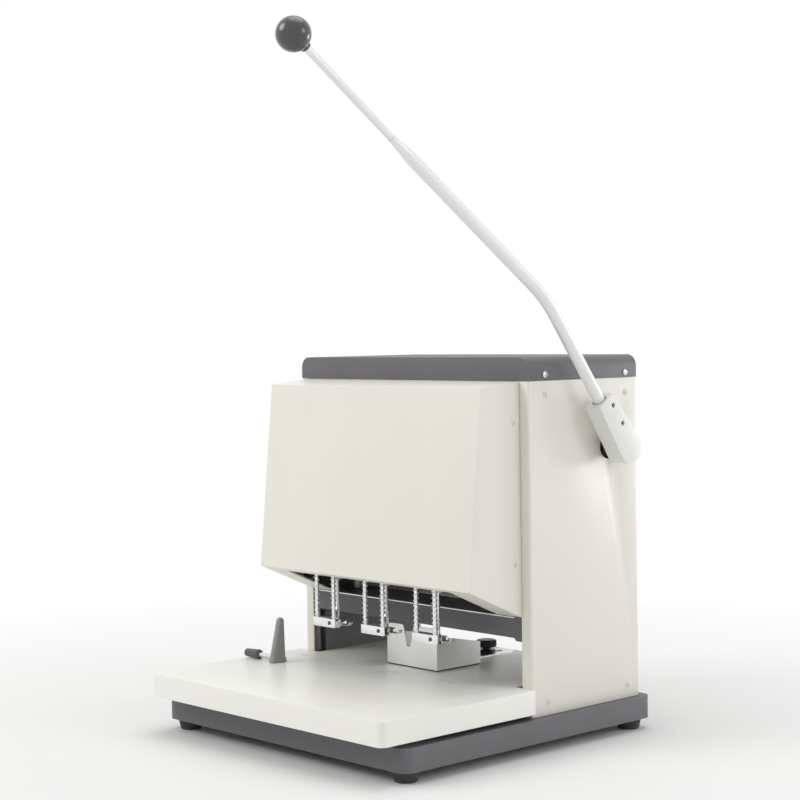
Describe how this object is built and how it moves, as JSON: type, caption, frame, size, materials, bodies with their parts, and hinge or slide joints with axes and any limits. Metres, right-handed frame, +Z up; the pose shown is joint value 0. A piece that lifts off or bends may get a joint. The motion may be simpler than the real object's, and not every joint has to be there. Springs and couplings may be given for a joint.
{
  "type": "electric hole punch",
  "caption": "Desk paper drill: hollow drills in sprung presser feet over a sheet-steel table, lowered by a long side lever, with a back gauge and a side guide.",
  "frame": {"origin": "on the floor under the middle of the bounding box", "axes": "+Z up; +X to the machine's right, where the lever is; +Y to its back"},
  "size_m": [0.4126, 0.514, 0.712],
  "materials": {
    "cream": "smooth cream paint",
    "table": "glossy white paint",
    "dark": "fine dark grey texture paint",
    "rubber": "matte",
    "chrome": "polished",
    "steel": "brushed",
    "casting": "cast, machined faces",
    "hub": "silver-white paint",
    "pad": "ivory plastic",
    "black": "black plastic",
    "ball": "polished",
    "guide": "grey plastic",
    "motor": "black paint"
  },
  "bodies": {
    "frame": {"base_tray": "dark", "foot_front_left": "rubber", "foot_rear_left": "rubber", "foot_front_right": "rubber", "foot_rear_right": "rubber", "table": "table", "cutting_pad_left": "pad", "cutting_pad_centre": "pad", "cutting_pad_right": "pad", "side_panel_left": "cream", "side_panel_right": "cream", "rear_cover": "cream", "head_cover": "cream", "top_cap": "dark", "frame_plate_left": "dark", "frame_plate_right": "dark", "lower_crossbar": "dark", "upper_crossbar": "dark", "guide_column_left": "chrome", "guide_column_right": "chrome", "lever_bush": "black", "power_module": "black"},
    "lever": {"lever_shaft": "steel", "lever_hub": "hub", "lever_tube": "hub", "lever_rod": "chrome", "lever_knob": "ball"},
    "carriage": {"spindle_carriage": "casting", "feed_rack": "steel", "drive_motor": "motor", "return_spring": "steel"},
    "motor_pinion": {"motor_pinion": "steel"},
    "idler_left": {"idler_gear_left": "steel"},
    "idler_right": {"idler_gear_right": "steel"},
    "spindle_left": {"geared_spindle_left": "steel", "drill_bit_left": "chrome"},
    "presser_left": {"presser_foot_left": "chrome", "guide_stirrup_left": "chrome", "presser_spring_left_left": "chrome", "presser_spring_left_right": "chrome"},
    "spindle_centre": {"geared_spindle_centre": "steel", "drill_bit_centre": "chrome"},
    "presser_centre": {"presser_foot_centre": "chrome", "guide_stirrup_centre": "chrome", "presser_spring_centre_left": "chrome", "presser_spring_centre_right": "chrome"},
    "spindle_right": {"geared_spindle_right": "steel", "drill_bit_right": "chrome"},
    "presser_right": {"presser_foot_right": "chrome", "guide_stirrup_right": "chrome", "presser_spring_right_left": "chrome", "presser_spring_right_right": "chrome"},
    "back_gauge": {"back_gauge": "steel"},
    "gauge_knob": {"gauge_knob": "black"},
    "side_guide": {"side_guide": "guide"},
    "side_guide_knob": {"side_guide_knob": "guide"},
    "power_switch": {"power_switch": "black"}
  },
  "joints": [
    {"name": "lever_swing", "type": "hinge", "parent": "frame", "child": "lever", "pos_m": [-0.00995, 0.19898, 0.3078], "axis": [1, 0, 0], "range_deg": [0, 65.89], "stiffness_Nm_per_rad": 5, "springref_deg": -91.67},
    {"name": "carriage_feed", "type": "slide", "parent": "frame", "child": "carriage", "axis": [0, 0, 1], "range_m": [-0.0437, 0], "deforming": ["return_spring"]},
    {"name": "motor_spin", "type": "hinge", "parent": "carriage", "child": "motor_pinion", "pos_m": [-0.00995, 0.07748, 0.2115], "axis": [0, 0, 1], "continuous": true},
    {"name": "idler_left_spin", "type": "hinge", "parent": "carriage", "child": "idler_left", "pos_m": [-0.04995, 0.03998, 0.2115], "axis": [0, 0, 1], "continuous": true},
    {"name": "idler_right_spin", "type": "hinge", "parent": "carriage", "child": "idler_right", "pos_m": [0.03005, 0.03998, 0.2115], "axis": [0, 0, 1], "continuous": true},
    {"name": "spindle_left_spin", "type": "hinge", "parent": "carriage", "child": "spindle_left", "pos_m": [-0.08995, 0.03998, 0.2115], "axis": [0, 0, 1], "continuous": true},
    {"name": "spindle_centre_spin", "type": "hinge", "parent": "carriage", "child": "spindle_centre", "pos_m": [-0.00995, 0.03998, 0.2115], "axis": [0, 0, 1], "continuous": true},
    {"name": "spindle_right_spin", "type": "hinge", "parent": "carriage", "child": "spindle_right", "pos_m": [0.07005, 0.03998, 0.2115], "axis": [0, 0, 1], "continuous": true},
    {"name": "presser_left_lift", "type": "slide", "parent": "carriage", "child": "presser_left", "axis": [0, 0, 1], "range_m": [0, 0.012], "stiffness_N_per_m": 1500, "springref_m": -0.01, "deforming": ["presser_spring_left_left", "presser_spring_left_right"]},
    {"name": "presser_centre_lift", "type": "slide", "parent": "carriage", "child": "presser_centre", "axis": [0, 0, 1], "range_m": [0, 0.012], "stiffness_N_per_m": 1500, "springref_m": -0.01, "deforming": ["presser_spring_centre_left", "presser_spring_centre_right"]},
    {"name": "presser_right_lift", "type": "slide", "parent": "carriage", "child": "presser_right", "axis": [0, 0, 1], "range_m": [0, 0.012], "stiffness_N_per_m": 1500, "springref_m": -0.01, "deforming": ["presser_spring_right_left", "presser_spring_right_right"]},
    {"name": "gauge_slide", "type": "slide", "parent": "frame", "child": "back_gauge", "axis": [0, 1, 0], "range_m": [-0.022, 0.013]},
    {"name": "gauge_knob_turn", "type": "hinge", "parent": "frame", "child": "gauge_knob", "pos_m": [-0.00795, 0.19068, 0.066], "axis": [0, 0, 1], "continuous": true},
    {"name": "side_guide_slide", "type": "slide", "parent": "frame", "child": "side_guide", "axis": [1, 0, 0], "range_m": [-0.003, 0.06]},
    {"name": "side_guide_knob_turn", "type": "hinge", "parent": "side_guide", "child": "side_guide_knob", "pos_m": [-0.19395, -0.00352, 0.0716], "axis": [1, 0, 0], "continuous": true},
    {"name": "power_switch_rock", "type": "hinge", "parent": "frame", "child": "power_switch", "pos_m": [-0.11995, 0.24228, 0.219], "axis": [1, 0, 0], "range_deg": [-12, 0]}
  ],
  "couplings": [
    {"joint": "carriage_feed", "follows": "lever_swing", "m_per_rad": -0.038},
    {"joint": "spindle_left_spin", "follows": "spindle_centre_spin", "ratio": 1},
    {"joint": "spindle_right_spin", "follows": "spindle_centre_spin", "ratio": 1},
    {"joint": "idler_left_spin", "follows": "spindle_centre_spin", "ratio": -1.6667},
    {"joint": "idler_right_spin", "follows": "spindle_centre_spin", "ratio": -1.6667},
    {"joint": "motor_spin", "follows": "spindle_centre_spin", "ratio": -2}
  ]
}
